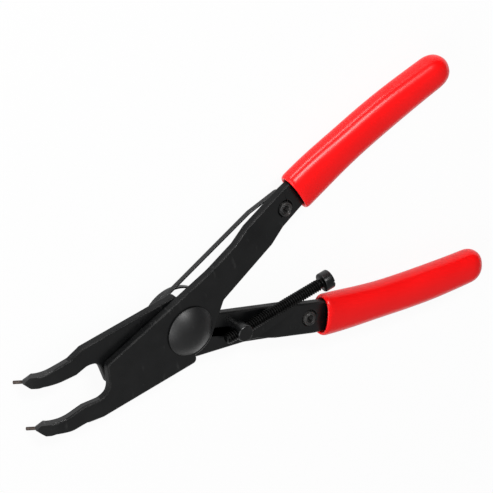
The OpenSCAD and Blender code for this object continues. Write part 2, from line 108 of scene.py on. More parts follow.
def noiseOn(tree, place, scale, detail=4.0, stretch=None):
    if stretch:
        mapping = addNode(tree, "ShaderNodeMapping", {"Scale": stretch})
        tree.links.new(place, mapping.inputs["Vector"])
        place = mapping.outputs["Vector"]
    noise = addNode(tree, "ShaderNodeTexNoise", {"Scale": scale, "Detail": detail})
    tree.links.new(place, noise.inputs["Vector"])
    return noise.outputs[0]


def ranged(tree, value, fromLow, fromHigh, toLow, toHigh):
    made = addNode(tree, "ShaderNodeMapRange", {
        "From Min": fromLow, "From Max": fromHigh, "To Min": toLow, "To Max": toHigh})
    tree.links.new(value, made.inputs["Value"])
    return made.outputs["Result"]


def times(tree, first, second):
    made = addNode(tree, "ShaderNodeMath", operation="MULTIPLY")
    tree.links.new(first, made.inputs[0])
    tree.links.new(second, made.inputs[1])
    return made.outputs[0]


def mixed(tree, share, first, second):
    made = addNode(tree, "ShaderNodeMix", data_type="RGBA")
    tree.links.new(share, made.inputs[0])
    for index, colour in ((6, first), (7, second)):
        if isinstance(colour, tuple):
            made.inputs[index].default_value = (*colour, 1)
        else:
            tree.links.new(colour, made.inputs[index])
    return made.outputs[2]


def bumped(tree, shader, height, strength, distance):
    made = addNode(tree, "ShaderNodeBump", {"Strength": strength, "Distance": distance})
    tree.links.new(height, made.inputs["Height"])
    tree.links.new(made.outputs["Normal"], shader.inputs["Normal"])


# black oxide: dark clouds, fine grain, faint rubbed streaks, bare metal along worn edges; on the thread
# crests and pin ends that bare metal is partly wear and partly painted glints
blackFinish = {
    "dark": (0.0016, 0.0018, 0.0021),
    "light": (0.0042, 0.0044, 0.0047),
    "rubbed": (0.022, 0.022, 0.022),
    "bareAndGlint": (0.14, 0.135, 0.13),
    "specular": 0.46,
    "roughness": (0.25, 0.36),
    "cloudScale": 150, "cloudRange": (0.3, 0.7),
    "scuffScale": 330, "scuffStretch": (1, 0.35, 1), "scuffRange": (0.63, 0.74), "scuffShare": 0.7,
    "wearAndGlintScale": 160, "wearAndGlintRange": (0.40, 0.62), "wearAndGlintShare": 0.07,
    "grainScale": 2600, "grainDepth": 0.22, "grainHeight": 0.00006,
}
shearedFinish = {**blackFinish, "specular": 0.17, "roughness": (0.42, 0.58), "grainDepth": 0.35}
domeFinish = {**blackFinish, "specular": 0.66, "roughness": (0.42, 0.5)}
# the thread's crests and the rolled pins' ends take the bare-metal colour: partly wear, partly painted
# highlights and glints
threadFinish = {
    **blackFinish, "dark": (0.001, 0.001, 0.001), "light": (0.002, 0.002, 0.002),
    "rubbed": (0.006, 0.006, 0.006), "specular": 0.09, "roughness": (0.30, 0.40), "wearAndGlintShare": 0.12,
}
rolledFinish = {
    **blackFinish, "dark": (0.006, 0.006, 0.006), "light": (0.020, 0.020, 0.020), "specular": 0.65,
    "roughness": (0.26, 0.44), "cloudScale": 700, "grainDepth": 0.6, "wearAndGlintShare": 0.5,
}


def blackSteel(name, finish):
    material, tree, shader, place = startMaterial(name, finish["specular"])
    cloud = noiseOn(tree, place, finish["cloudScale"], 6)
    grain = noiseOn(tree, place, finish["grainScale"], 3)
    colour = mixed(tree, ranged(tree, cloud, *finish["cloudRange"], 0, 1), finish["dark"], finish["light"])
    scuff = noiseOn(tree, place, finish["scuffScale"], 8, finish["scuffStretch"])
    rubbed = ranged(tree, scuff, *finish["scuffRange"], 0, finish["scuffShare"])
    colour = mixed(tree, rubbed, colour, finish["rubbed"])
    # bare metal where the wear mask is set: real wear on the plate and stud edges, partly wear and partly
    # painted glints on the thread crests and pin ends
    wearAndGlintMask = addNode(tree, "ShaderNodeAttribute", attribute_name="edgeWearAndGlint").outputs["Fac"]
    patches = noiseOn(tree, place, finish["wearAndGlintScale"], 4)
    wearAndGlint = times(tree, wearAndGlintMask, ranged(tree, patches, *finish["wearAndGlintRange"], 0, finish["wearAndGlintShare"]))
    colour = mixed(tree, wearAndGlint, colour, finish["bareAndGlint"])
    tree.links.new(colour, shader.inputs["Base Color"])
    tree.links.new(wearAndGlint, shader.inputs["Metallic"])
    roughness = ranged(tree, cloud, *finish["cloudRange"], *finish["roughness"])
    tree.links.new(roughness, shader.inputs["Roughness"])
    bumped(tree, shader, grain, finish["grainDepth"], finish["grainHeight"])
    return material


# bare ground steel on the tips, slightly straw coloured
tipFinish = {
    "dark": (0.022, 0.017, 0.015), "light": (0.085, 0.066, 0.057),
    "specular": 0.5, "metallic": 0.8, "roughness": (0.28, 0.5),
    "lineScale": 900, "lineStretch": (1, 0.2, 1), "lineDepth": 0.15, "lineHeight": 0.00005,
}


def tipSteel(name, finish):
    material, tree, shader, place = startMaterial(name, finish["specular"])
    lines = noiseOn(tree, place, finish["lineScale"], 4, finish["lineStretch"])
    colour = mixed(tree, ranged(tree, lines, 0.35, 0.65, 0, 1), finish["dark"], finish["light"])
    tree.links.new(colour, shader.inputs["Base Color"])
    shader.inputs["Metallic"].default_value = finish["metallic"]
    tree.links.new(ranged(tree, lines, 0.3, 0.7, *finish["roughness"]), shader.inputs["Roughness"])
    bumped(tree, shader, lines, finish["lineDepth"], finish["lineHeight"])
    return material


# dipped vinyl: deep red, glossy, with a soft ripple and a few dull rubs
vinylFinish = {
    "deep": (0.91, 0.0022, 0.0030),
    "bright": (0.97, 0.0032, 0.0040),
    "specular": 0.38,
    "roughness": (0.29, 0.35),
    "cloudScale": 60, "rubScale": 45, "rubRange": (0.45, 0.75),
    "rippleScale": 85, "rippleDepth": 0.06, "rippleHeight": 0.0003,
}


def redVinyl(name, finish):
    material, tree, shader, place = startMaterial(name, finish["specular"])
    cloud = noiseOn(tree, place, finish["cloudScale"], 3)
    colour = mixed(tree, ranged(tree, cloud, 0.3, 0.7, 0, 1), finish["deep"], finish["bright"])
    tree.links.new(colour, shader.inputs["Base Color"])
    rub = noiseOn(tree, place, finish["rubScale"], 3)
    roughness = ranged(tree, rub, *finish["rubRange"], *finish["roughness"])
    tree.links.new(roughness, shader.inputs["Roughness"])
    ripple = noiseOn(tree, place, finish["rippleScale"], 1)
    bumped(tree, shader, ripple, finish["rippleDepth"], finish["rippleHeight"])
    return material


black = blackSteel("blackOxide", blackFinish)
sheared = blackSteel("shearedEdge", shearedFinish)
domeBlack = blackSteel("domeOxide", domeFinish)
threadBlack = blackSteel("threadOxide", threadFinish)
rolledBlack = blackSteel("rolledPinOxide", rolledFinish)
bareTip = tipSteel("groundTipSteel", tipFinish)
red = redVinyl("dippedRedVinyl", vinylFinish)
print("finishes made")


# mesh helpers; every mesh is shaped in millimetres
def shadeByAngle(bm, limit):
    for face in bm.faces:
        face.smooth = True
    for edge in bm.edges:
        edge.smooth = edge.calc_face_angle(0) < radians(limit)


def closePiece(bm):
    bmesh.ops.remove_doubles(bm, verts=bm.verts, dist=0.0005)
    bmesh.ops.recalc_face_normals(bm, faces=bm.faces)


def finishPiece(name, bm, material, node, body=None, limit=35):
    shadeByAngle(bm, limit)
    bmesh.ops.scale(bm, vec=(mm, mm, mm), verts=bm.verts)
    mesh = bpy.data.meshes.new(name)
    bm.to_mesh(mesh)
    bm.free()
    mesh.materials.append(material)
    piece = bpy.data.objects.new(name, mesh)
    bpy.context.scene.collection.objects.link(piece)
    if body:
        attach(piece, body)
    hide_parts(node)
    return piece


def grownVerts(geom):
    return [g for g in geom if isinstance(g, bmesh.types.BMVert)]


def copyNode(node):
    bm = bmesh.new()
    bm.from_mesh(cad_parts[node].data)
    bmesh.ops.scale(bm, vec=(1 / mm, 1 / mm, 1 / mm), verts=bm.verts)
    bmesh.ops.remove_doubles(bm, verts=bm.verts, dist=0.001)
    bmesh.ops.dissolve_limit(bm, angle_limit=radians(0.6), verts=bm.verts, edges=bm.edges)
    return bm


def roundEdges(bm, edges, width, segments):
    made = bmesh.ops.bevel(
        bm, geom=edges, offset=width, offset_type="OFFSET", segments=segments, profile=0.5,
        affect="EDGES", clamp_overlap=False, material=-1)
    return set(made["faces"])


def markWear(bm, rounded):
    layer = bm.verts.layers.float.new("edgeWearAndGlint")
    for vert in bm.verts:
        if vert.link_faces and all(face in rounded for face in vert.link_faces):
            vert[layer] = 1


def profileEdges(bm, points):
    verts = [bm.verts.new(p) for p in points]
    edges = [bm.edges.new(pair) for pair in zip(verts, verts[1:])]
    return verts + edges


def turnedPiece(bm, section, steps):
    # section is a list of (radius, height); it is turned once round Z
    geom = profileEdges(bm, [(r, 0, z) for r, z in section])
    bmesh.ops.spin(bm, geom=geom, cent=(0, 0, 0), axis=(0, 0, 1), angle=2 * pi, steps=steps, use_merge=True)
    closePiece(bm)


def arcPoints(centre, radius, fromTurn, toTurn, steps):
    turns = [radians(fromTurn + (toTurn - fromTurn) * i / steps) for i in range(steps + 1)]
    return [(centre[0] + radius * cos(t), centre[1] + radius * sin(t)) for t in turns]


# lever plates
leverShape = {
    "edgeRound": 0.8, "edgeSegments": 5, "sharpAngle": 55,
    "turnLow": 5, "turnHigh": 50, "turnShare": 32, "turnSegments": 3,
    "coneX": -66.3, "coneLength": 4, "wallTilt": 0.75, "wallFrom": -60,
    "jawFrom": -30, "jawLow": -7, "fingerY": 11.45, "fingerCore": 1,
    "outerSwell": 1.0, "outerRise": (44, 50), "outerFall": (-66.3, -57),
    "jawRise": (30, 40), "jawFall": (-52, -44),
    "innerSwell": 0.5, "innerRise": (39, 43), "innerFall": (-62, -48),
    "throatSwell": 0.7, "throatFall": (-47, -42), "throatReach": (4, 9),
}


def eased(value, low, high):
    t = min(1, max(0, (value - low) / (high - low)))
    return t * t * (3 - 2 * t)


def swellFinger(bm, side, jawSwell):
    # ground fingers are a little fuller than the punched outline, and flow into the jaw
    shape = leverShape
    for vert in bm.verts:
        x, reach = vert.co.x, side * vert.co.y
        if x > shape["jawFrom"] or reach < shape["jawLow"]:
            continue
        if reach > shape["fingerY"] + shape["fingerCore"]:
            outer = shape["outerSwell"] * eased(-x, *shape["outerRise"]) * eased(x, *shape["outerFall"])
            jaw = jawSwell * eased(-x, *shape["jawRise"]) * eased(x, *shape["jawFall"])
            vert.co.y += side * max(outer, jaw)
        elif x > shape["innerFall"][0] and reach < shape["fingerY"] - shape["fingerCore"]:
            inner = shape["innerSwell"] * eased(-x, *shape["innerRise"]) * eased(x, *shape["innerFall"])
            throat = shape["throatSwell"] * eased(x, *shape["throatFall"])
            vert.co.y -= side * inner
            vert.co.x -= throat * (1 - eased(reach, *shape["throatReach"]))


def makeLever(node, body, side, jawSwell):
    shape = leverShape
    bm = copyNode(node)
    swellFinger(bm, side, jawSwell)
    low, high = radians(shape["turnLow"]), radians(shape["turnHigh"])
    turns = [  # upright edges along the outline
        e for e in bm.edges
        if low < e.calc_face_angle(0) < high
        and all(abs(f.normal.z) < 0.3 for f in e.link_faces)
        and min(v.co.x for v in e.verts) > shape["coneX"] + shape["coneLength"]]
    bmesh.ops.bevel(
        bm, geom=turns, offset=shape["turnShare"], offset_type="PERCENT", segments=shape["turnSegments"],
        profile=0.5, affect="EDGES", clamp_overlap=False, material=-1)
    sharp = [
        e for e in bm.edges
        if e.calc_face_angle(0) > radians(shape["sharpAngle"])
        and min(v.co.x for v in e.verts) > shape["coneX"]]
    rounded = roundEdges(bm, sharp, shape["edgeRound"], shape["edgeSegments"])
    markWear(bm, rounded)
    for face in bm.faces:  # punched walls are duller than the ground faces
        upright = abs(face.normal.z) < shape["wallTilt"]
        face.material_index = 1 if upright and face.calc_center_median().x > shape["wallFrom"] else 0
    piece = finishPiece(node + "Plate", bm, black, node, body, 40)
    piece.data.materials.append(sheared)
    even = piece.modifiers.new("evenNormals", "WEIGHTED_NORMAL")
    even.mode = "FACE_AREA"
    even.weight = 100
    even.keep_sharp = True
    return piece


makeLever("front_lever", "front_body", -1, 0)
makeLever("back_lever", "back_body", 1, 0.45)
print("levers rounded")

# rivet and washer
rivetShape = {
    "domeR": 10.3, "domeBase": 13.7, "domeTop": 17.9, "seat": 13.2, "rimRound": 0.3,
    "shankR": 4.2, "rearR": 7.2, "rearTop": 2.6, "chamfer": 1.2, "steps": 96,
}
washerShape = {"hole": 4.21, "outer": 9.5, "low": 2.65, "high": 5.75, "round": 0.3, "steps": 72}


def makeRivet():
    shape = rivetShape
    rise = shape["domeTop"] - shape["domeBase"]
    ball = (shape["domeR"] ** 2 + rise ** 2) / (2 * rise)
    centre = (0, shape["domeTop"] - ball)
    rim = asin((shape["domeBase"] - centre[1]) / ball)
    r = shape["rimRound"]
    section = arcPoints(centre, ball, 90, rim * 180 / pi, 20)[:-1]
    section += arcPoints((shape["domeR"] - r, shape["domeBase"] - 0.05), r, 35, 0, 3)
    section += arcPoints((shape["domeR"] - r, shape["seat"] + r * 0.7), r, 0, -45, 3)
    section += [(shape["domeR"] - 0.6, shape["seat"]), (shape["shankR"], shape["seat"])]
    section += [(shape["shankR"], shape["rearTop"]), (shape["rearR"] - 0.25, shape["rearTop"])]
    section += [(shape["rearR"], shape["rearTop"] - 0.25), (shape["rearR"], shape["chamfer"] + 0.15)]
    section += [(shape["rearR"] - 0.15, shape["chamfer"] - 0.2)]
    section += [(shape["rearR"] - shape["chamfer"] + 0.25, 0.2), (shape["rearR"] - shape["chamfer"] - 0.1, 0)]
    section += [(0, 0)]
    bm = bmesh.new()
    turnedPiece(bm, section, shape["steps"])
    finishPiece("domedRivet", bm, domeBlack, "pivot_rivet", "back_body", 50)


def makeWasher():
    shape = washerShape
    inner, outer, low, high, r = (shape[k] for k in ("hole", "outer", "low", "high", "round"))
    section = [(inner, low), (outer - r, low)] + arcPoints((outer - r, low + r), r, -90, 0, 4)
    section += arcPoints((outer - r, high - r), r, 0, 90, 4) + [(inner, high), (inner, low)]
    bm = bmesh.new()
    turnedPiece(bm, section, shape["steps"])
    finishPiece("rearWasher", bm, black, "rear_washer", "back_body", 50)


makeRivet()
makeWasher()
print("rivet turned")

# handle lines that the grips, pins and spring follow
handleLine = {"angle": 24, "offset": 2.95, "pin": 61, "pinIn": 0.45}
alongHandle = Vector((cos(radians(handleLine["angle"])), sin(radians(handleLine["angle"]))))
acrossHandle = Vector((-alongHandle.y, alongHandle.x))
pinPlace = alongHandle * handleLine["pin"] + acrossHandle * (handleLine["offset"] - handleLine["pinIn"])

# grips; the skin is a little rounder in section than the bore
gripShape = {
    "mouth": 68, "length": 82.2, "startAngle": 18.6, "endAngle": 8,
    "width": 15.2, "mouthWidth": 17.4, "flareLength": 34, "thickness": 11, "wall": 1.4,
    "lipInside": 0.7, "lipOutside": 2.0, "endRound": 8, "endCap": 5, "endSkew": 0.7,
    "boreOval": 2.6, "skinOval": 2.3, "skinGrow": 1.033, "endOval": 2.3, "points": 144,
    "tailTaper": 0.06, "taperAlong": (50, 82),
    "bulgeRise": (-10, 20), "bulgeFall": (36, 70), "tailAlong": (50, 84),
    "boreRows": (0.8, 0.6, 0.4), "mouthRows": (20, 10, 5, 2),
    "lipInnerSteps": 6, "lipOuterSteps": 10, "bodySteps": 36, "endSteps": 16,
}
upperSleeve = {"endLength": 8.9, "bulge": 0.55, "lean": 0, "tail": 0.3}
lowerSleeve = {"endLength": 7.4, "bulge": 0, "lean": 0.2, "tail": 0.45}


def gripPlace(s):
    shape = gripShape
    start, end = radians(shape["startAngle"]), radians(shape["endAngle"])
    curve = shape["length"] / (start - end)
    a = start - (start - end) * s / shape["length"]
    mouth = alongHandle * shape["mouth"] + acrossHandle * handleLine["offset"]
    return mouth + curve * Vector((sin(start) - sin(a), cos(a) - cos(start))), a


def gripHalf(s):
    shape = gripShape
    flare = 0 if s >= shape["flareLength"] else (1 + cos(pi * max(s, 0) / shape["flareLength"])) / 2
    half = shape["width"] / 2 + (shape["mouthWidth"] - shape["width"]) / 2 * flare
    return half * (1 - shape["tailTaper"] * eased(s, *shape["taperAlong"]))


def outerChange(sleeve, s):
    # the two sleeves differ a little along their outer sides
    shape = gripShape
    bulge = sleeve["bulge"] * eased(s, *shape["bulgeRise"]) * (1 - eased(s, *shape["bulgeFall"]))
    return bulge - sleeve["lean"] - sleeve["tail"] * eased(s, *shape["tailAlong"])


def ovalShare(value, power):
    return abs(value) ** (2 / power) * (1 if value > 0 else -1)


def gripPoint(sleeve, station, turn):
    shape = gripShape
    s, inset, shrink, shift = station
    share = 1 - min(1, inset / shape["wall"])  # 0 on the bore, 1 on the skin
    power = shape["boreOval"] + (shape["skinOval"] - shape["boreOval"]) * share
    grow = 1 + (shape["skinGrow"] - 1) * share
    outer = outerChange(sleeve, s) * share if cos(turn) > 0 else 0
    halfWidth = gripHalf(s) * grow - inset + outer
    halfRise = shape["thickness"] / 2 * grow - inset
    side = ovalShare(cos(turn), power) * halfWidth * shrink - shift
    rise = ovalShare(sin(turn), power) * halfRise * shrink
    place, a = gripPlace(s)
    return Vector((place.x - sin(a) * side, place.y + cos(a) * side, midZ + rise))


def gripStations(endLength):
    # (distance from the mouth, depth under the skin, shrink, shift)
    # from the bore's end, round the lip, to the closed end
    shape = gripShape
    wall, inner, outer = shape["wall"], shape["lipInside"], shape["lipOutside"]
    body = shape["length"] - shape["endRound"]
    bore = body - shape["endCap"]
    along = [bore] + [bore * row for row in shape["boreRows"]] + list(shape["mouthRows"])
    stations = [(s, wall, 1, 0) for s in along]
    for i in range(shape["lipInnerSteps"] + 1):
        t = pi / 2 * i / shape["lipInnerSteps"]
        stations.append((inner * (1 - sin(t)), wall - inner * (1 - cos(t)), 1, 0))
    for i in range(1, shape["lipOuterSteps"] + 1):
        t = pi / 2 * i / shape["lipOuterSteps"]
        stations.append((outer * (1 - cos(t)), (wall - inner) * (1 - sin(t)), 1, 0))
    steps = shape["bodySteps"]
    stations += [(outer + (body - outer) * i / steps, 0, 1, 0) for i in range(1, steps + 1)]
    for i in range(1, shape["endSteps"]):
        u = sin(pi / 2 * i / shape["endSteps"])
        shrink = (1 - u ** shape["endOval"]) ** (1 / shape["endOval"])
        stations.append((body + endLength * u, 0, shrink, shape["endSkew"] * u * u))
    return stations


def makeGrip(name, node, body, side, sleeve):
    shape = gripShape
    endLength = sleeve["endLength"]
    bm = bmesh.new()
    bmesh.ops.create_circle(bm, cap_ends=True, segments=shape["points"], radius=1)
    turnLayer = bm.verts.layers.float.new("turn")  # each ring takes it over from the one before
    stations = gripStations(endLength)
    for vert in bm.verts:
        vert[turnLayer] = atan2(vert.co.y, vert.co.x)
        vert.co = gripPoint(sleeve, stations[0], vert[turnLayer])
    edges = bm.edges[:]
    for station in stations[1:]:
        grown = bmesh.ops.extrude_edge_only(bm, edges=edges)["geom"]
        verts = set(grownVerts(grown))
        edges = [g for g in grown if isinstance(g, bmesh.types.BMEdge) and all(v in verts for v in g.verts)]
        for vert in verts:
            vert.co = gripPoint(sleeve, station, vert[turnLayer])
    last = shape["length"] - shape["endRound"] + endLength
    bmesh.ops.pointmerge(bm, verts=list(verts), merge_co=gripPoint(sleeve, (last, 0, 0, shape["endSkew"]), 0))
    bm.verts.layers.float.remove(turnLayer)
    if side < 0:
        bmesh.ops.scale(bm, vec=(1, -1, 1), verts=bm.verts)
    closePiece(bm)
    piece = finishPiece(name, bm, red, node, body, 70)
    soften = piece.modifiers.new("soften", "SUBSURF")
    soften.levels = soften.render_levels = 1


makeGrip("upperSleeve", "upper_grip", "front_body", 1, upperSleeve)
makeGrip("lowerSleeve", "lower_grip", "back_body", -1, lowerSleeve)
print("grips drawn out")


# strips swept along rows of (x, y, z, heading); the strip stands on edge, its thickness across the heading
def sweepStrip(bm, rows, thickness, width, corner):
    bmesh.ops.create_grid(bm, x_segments=1, y_segments=1, size=0.5)
    bmesh.ops.scale(bm, vec=(thickness, width, 1), verts=bm.verts)
    bmesh.ops.bevel(
        bm, geom=bm.verts[:], offset=corner, offset_type="OFFSET", segments=3, profile=0.5,
        affect="VERTICES", clamp_overlap=True, material=-1)

    def rowPlace(row):
        x, y, z, a = row
        columns = ((-sin(a), cos(a), 0), (0, 0, 1), (cos(a), sin(a), 0))
        return Matrix.Translation((x, y, z)) @ Matrix(columns).transposed().to_4x4()

    place = rowPlace(rows[0])
    bmesh.ops.transform(bm, matrix=place, verts=bm.verts)
    first = faces = bm.faces[:]
    for row in rows[1:]:
        grown = bmesh.ops.extrude_face_region(bm, geom=faces)["geom"]
        if faces is not first:  # only the two end faces stay
            bmesh.ops.delete(bm, geom=faces, context="FACES_ONLY")
        verts = grownVerts(grown)
        faces = [g for g in grown if isinstance(g, bmesh.types.BMFace)]
        following = rowPlace(row)
        bmesh.ops.transform(bm, matrix=following @ place.inverted(), verts=verts)
        place = following
    closePiece(bm)


# return spring
springShape = {
    "width": 2.1, "thickness": 0.7, "corner": 0.16, "coilR": 14.25, "coilZ": -5.0, "turnGap": 0.15,
    "legAngle": 20.5, "legLength": 49, "bendR": 5,
    "hookSide": 5.25, "hookCornerR": 2, "hookTurn": 110, "hookR": 3.575, "hookZ": -3.1,
    "coilSteps": 110, "blendFrom": 14.5, "blendTo": 24,
}


def turnRows(centre, radius, fromTurn, toTurn, fromZ, toZ, steps):
    rows = []
    for i in range(steps + 1):
        a = radians(fromTurn + (toTurn - fromTurn) * i / steps)
        z = midZ + fromZ + (toZ - fromZ) * i / steps
        rows.append((centre[0] + radius * cos(a), centre[1] + radius * sin(a), z, a - pi / 2))
    return rows


def legRows(coilZ):
    shape = springShape
    legTurn = radians(shape["legAngle"])
    leaves = shape["coilR"] * Vector((-sin(legTurn), cos(legTurn)))
    heading = Vector((cos(legTurn), sin(legTurn)))
    bend = leaves + heading * shape["legLength"]
    corner = pinPlace + alongHandle * (shape["hookR"] - shape["hookCornerR"])
    corner = corner + acrossHandle * (shape["hookSide"] + handleLine["pinIn"] - shape["hookCornerR"])
    gap = corner - bend
    endTurn = atan2(gap.y, gap.x) + asin(shape["hookCornerR"] / gap.length)
    bendZ = coilZ + (shape["hookZ"] - coilZ) * shape["legLength"] / (shape["legLength"] + gap.length)
    angle, hookZ = handleLine["angle"], shape["hookZ"]
    rows = turnRows(pinPlace, shape["hookR"], angle - shape["hookTurn"], angle, hookZ, hookZ, 12)
    rows += turnRows(corner, shape["hookCornerR"], angle, 90 + endTurn * 180 / pi, hookZ, hookZ, 8)
    turn = legTurn - endTurn
    endHeading = Vector((cos(endTurn), sin(endTurn)))
    reach = shape["bendR"] * abs(turn) / 2
    for k in (1, 0.5, 0, -0.5, -1):  # soft bend between the leg and its end
        a = (legTurn + endTurn) / 2 - k * turn / 2
        slip = 0.25 - abs(k) / 4
        point = bend + (endHeading if k > 0 else heading) * reach * k - (heading - endHeading) * reach * slip
        rows.append((point.x, point.y, midZ + bendZ, a))
    for k in (0.75, 0.5, 0.25):
        point = leaves + heading * shape["legLength"] * k
        rows.append((point.x, point.y, midZ + coilZ + (bendZ - coilZ) * k, legTurn))
    return rows


def makeSpring():
    shape = springShape
    turns = 1 + (180 - 2 * shape["legAngle"]) / 360
    farZ = shape["coilZ"] - (shape["width"] + shape["turnGap"]) * turns
    start = 90 + shape["legAngle"]
    rows = legRows(shape["coilZ"])
    end, steps = start + 360 * turns, shape["coilSteps"]
    rows += turnRows((0, 0), shape["coilR"], start, end, shape["coilZ"], farZ, steps)
    rows += [(x, -y, z, pi - a) for x, y, z, a in reversed(legRows(farZ))]
    bm = bmesh.new()
    sweepStrip(bm, rows, shape["thickness"], shape["width"], shape["corner"])
    piece = finishPiece("stripSpring", bm, black, "return_spring", None, 40)
    z = (midZ + shape["coilZ"]) * mm
    nearCoil, onLeg = (0, shape["blendFrom"] * mm, z), (0, shape["blendTo"] * mm, z)
    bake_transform(piece, "back_body", "front_body", start=nearCoil, end=onLeg)


makeSpring()
print("spring wound")

# rolled pins, wound inwards from the outer end
pinShape = {
    "outer": 3.175, "sheet": 0.62, "gap": 0.03, "turns": 2.05, "low": -4.75, "high": 2.6, "corner": 0.2,
    "firstTurn": -54, "steps": 110,
}


def makePin(name, node, body, side):
    shape = pinShape
    tall = shape["high"] - shape["low"]
    rows = []
    for i in range(shape["steps"] + 1):
        wound = shape["turns"] * i / shape["steps"]
        a = radians(shape["firstTurn"]) - 2 * pi * wound
        r = shape["outer"] - shape["sheet"] / 2 - (shape["sheet"] + shape["gap"]) * max(0, wound - 0.06)
        x, y = pinPlace.x + r * cos(a), side * pinPlace.y + r * sin(a)
        rows.append((x, y, midZ + shape["low"] + tall / 2, a - pi / 2))
    bm = bmesh.new()
    sweepStrip(bm, rows, shape["sheet"], tall, shape["corner"])
    # pin ends in bare metal: partly wear, partly painted glints on the rims
    wearAndGlintMask = bm.verts.layers.float.new("edgeWearAndGlint")
    for vert in bm.verts:  # hammered ends; their bare metal is partly wear and partly painted rim glints
        vert[wearAndGlintMask] = 1 if abs(vert.co.z - midZ - shape["low"] - tall / 2) > tall / 2 - 0.3 else 0
    finishPiece(name, bm, rolledBlack, node, body, 40)


makePin("upperRolledPin", "upper_spring_pin", "front_body", 1)
makePin("lowerRolledPin", "lower_spring_pin", "back_body", -1)
print("pins rolled")


# stop stud
studShape = {"sharpAngle": 40, "edgeRound": 0.14, "edgeSegments": 2}


def makeStud():
    shape = studShape
    bm = copyNode("stop_stud")
    sharp = [e for e in bm.edges if e.calc_face_angle(0) > radians(shape["sharpAngle"])]
    rounded = roundEdges(bm, sharp, shape["edgeRound"], shape["edgeSegments"])
    markWear(bm, rounded)
    piece = finishPiece("stopStud", bm, black, "stop_stud", "back_body", 40)
    even = piece.modifiers.new("evenNormals", "WEIGHTED_NORMAL")
    even.keep_sharp = True


makeStud()

# stop screw: a slotted head, then the thread is made and bridged to its neck, as one shell
screwShape = {
    "end": 15.1, "underHead": 62.9, "y": -13.8, "z": 12.415,
    "threadR": 2.415, "depth": 0.6, "pitch": 1.058, "crest": 0.2, "crestDrop": 0.07, "root": 0.14,
    "steps": 48, "neck": 1.1, "lead": 0.7,
    "headR": 4.0, "headHeight": 4.7, "crown": 0.8, "headRound": 0.3, "headSteps": 64,
    "slotWidth": 1.2, "slotDepth": 1.9,
}


def withLinks(verts):
    edges = {e for v in verts for e in v.link_edges}
    faces = {f for v in verts for f in v.link_faces}
    return verts + list(edges) + list(faces)


def makeThread(bm):
    shape = screwShape
    p, rootR, crestR = shape["pitch"], shape["threadR"] - shape["depth"], shape["threadR"]
    length = shape["underHead"] - shape["neck"] - shape["end"]
    turns = int(length / p) + 3
    flank = (1 - shape["root"] - shape["crest"]) / 2
    start, drop = shape["root"] + flank, shape["crestDrop"]
    stop = start + shape["crest"]
    marks = [(0, rootR), (shape["root"], rootR), (start, crestR - drop), (start + shape["crest"] / 3, crestR)]
    marks += [(stop - shape["crest"] / 3, crestR), (stop, crestR - drop), (1, rootR)]
    kept = set(bm.verts)
    geom = profileEdges(bm, [(p * x - 1.5 * p, 0, r) for x, r in marks])
    bmesh.ops.spin(
        bm, geom=geom, cent=(0, 0, 0), axis=(1, 0, 0), dvec=(p / shape["steps"], 0, 0),
        angle=2 * pi, steps=shape["steps"])
    oneTurn = withLinks([v for v in bm.verts if v not in kept])
    for k in range(1, turns):
        copied = bmesh.ops.duplicate(bm, geom=oneTurn)["geom"]
        bmesh.ops.translate(bm, vec=(p * k, 0, 0), verts=grownVerts(copied))
    bmesh.ops.remove_doubles(bm, verts=[v for v in bm.verts if v not in kept], dist=0.002)
    for x, direction in ((0, -1), (length, 1)):
        thread = withLinks([v for v in bm.verts if v not in kept])
        cut = bmesh.ops.bisect_plane(
            bm, geom=thread, plane_co=(x, 0, 0), plane_no=(direction, 0, 0), clear_outer=True)["geom_cut"]
        if x == 0:
            bmesh.ops.edgeloop_fill(bm, edges=[g for g in cut if isinstance(g, bmesh.types.BMEdge)])
    for vert in bm.verts:  # tapered first and last turns
        if vert in kept:
            continue
        r = hypot(vert.co.y, vert.co.z)
        inset = min(vert.co.x, length - vert.co.x)
        most = rootR + shape["depth"] * min(1, max(0, inset) / shape["lead"])
        if r > most:
            vert.co.y *= most / r
            vert.co.z *= most / r


def makeHead():
    # closed head with a stub of neck, slotted, then opened at the stub's end
    shape = screwShape
    base = shape["underHead"] - shape["end"]
    rootR, headR, r = shape["threadR"] - shape["depth"], shape["headR"], shape["headRound"]
    side = base + shape["headHeight"] - shape["crown"]
    ball = (headR ** 2 + shape["crown"] ** 2) / (2 * shape["crown"])
    neck = base - shape["neck"] * 0.6
    section = [(0, neck), (rootR, neck), (rootR, base - 0.2), (rootR + 0.2, base), (headR - r, base)]
    section += arcPoints((headR - r, base + r), r, -90, 0, 4)[1:]
    section += arcPoints((headR - r, side - r * 0.6), r, 0, 60, 4)
    topBall = base + shape["headHeight"] - ball
    section += arcPoints((0, topBall), ball, acos((headR - 0.4) / ball) * 180 / pi, 90, 8)
    bm = bmesh.new()
    turnedPiece(bm, section, shape["headSteps"])
    bmesh.ops.rotate(bm, cent=(0, 0, 0), matrix=Matrix.Rotation(pi / 2, 3, "Y"), verts=bm.verts)
    bm = cutSlot(bm)
    stub = [f for f in bm.faces if all(v.co.x < neck + 0.001 for v in f.verts)]
    bmesh.ops.delete(bm, geom=stub, context="FACES")
    return bm


def looseObject(name, bm):
    mesh = bpy.data.meshes.new(name)
    bm.to_mesh(mesh)
    bm.free()
    made = bpy.data.objects.new(name, mesh)
    bpy.context.scene.collection.objects.link(made)
    return made


